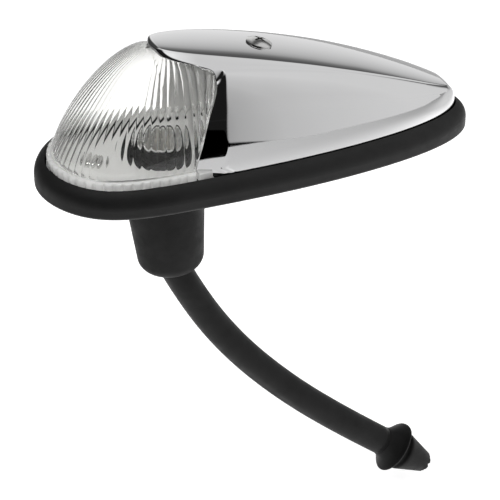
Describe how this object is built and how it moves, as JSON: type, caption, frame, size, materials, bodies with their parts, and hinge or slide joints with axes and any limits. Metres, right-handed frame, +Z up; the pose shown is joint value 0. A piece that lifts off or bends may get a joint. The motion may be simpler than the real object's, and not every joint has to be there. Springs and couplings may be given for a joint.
{
  "type": "vehicle indicator lamp",
  "caption": "Teardrop fender-top indicator lamp: ribbed clear lens under a chromed tail cover on a rubber seal, with a rubber socket boot and a wire tube ending in a grommet.",
  "frame": {"origin": "on the mounting plane, the underside of the rubber seal, at the axis of the bulb socket", "axes": "+Z up out of the fender, +X along the lamp towards its tail, the lens faces -X; symmetric about y = 0"},
  "size_m": [0.16, 0.0616, 0.2109],
  "materials": {
    "seal_rubber": "matte black moulded rubber",
    "boot_rubber": "matte dark grey rubber",
    "tube_rubber": "satin black rubber",
    "grommet_rubber": "matte black rubber",
    "chrome_plate": "polished chrome plate on zinc casting",
    "screw_plate": "bright plated screw",
    "clear_lens": "clear moulded lens with optical ribs",
    "base_casting": "light grey painted casting",
    "zinc_steel": "zinc plated steel",
    "brass": "plain brass",
    "socket_metal": "bright plated sheet",
    "insulator": "brown laminated insulator"
  },
  "bodies": {
    "root": {"fender_seal": "seal_rubber", "base_plate": "base_casting", "mounting_studs": "zinc_steel", "chrome_cover": "chrome_plate", "lens": "clear_lens", "lens_gasket": "seal_rubber", "screw_pillar": "brass", "cover_screw": "screw_plate", "bulb_socket": "socket_metal", "contact_carrier": "insulator", "contact_plunger": "brass", "socket_spring": "zinc_steel", "feed_terminal": "brass", "earth_blade": "brass", "socket_boot": "boot_rubber", "wire_tube": "tube_rubber", "end_grommet": "grommet_rubber"}
  },
  "joints": []
}
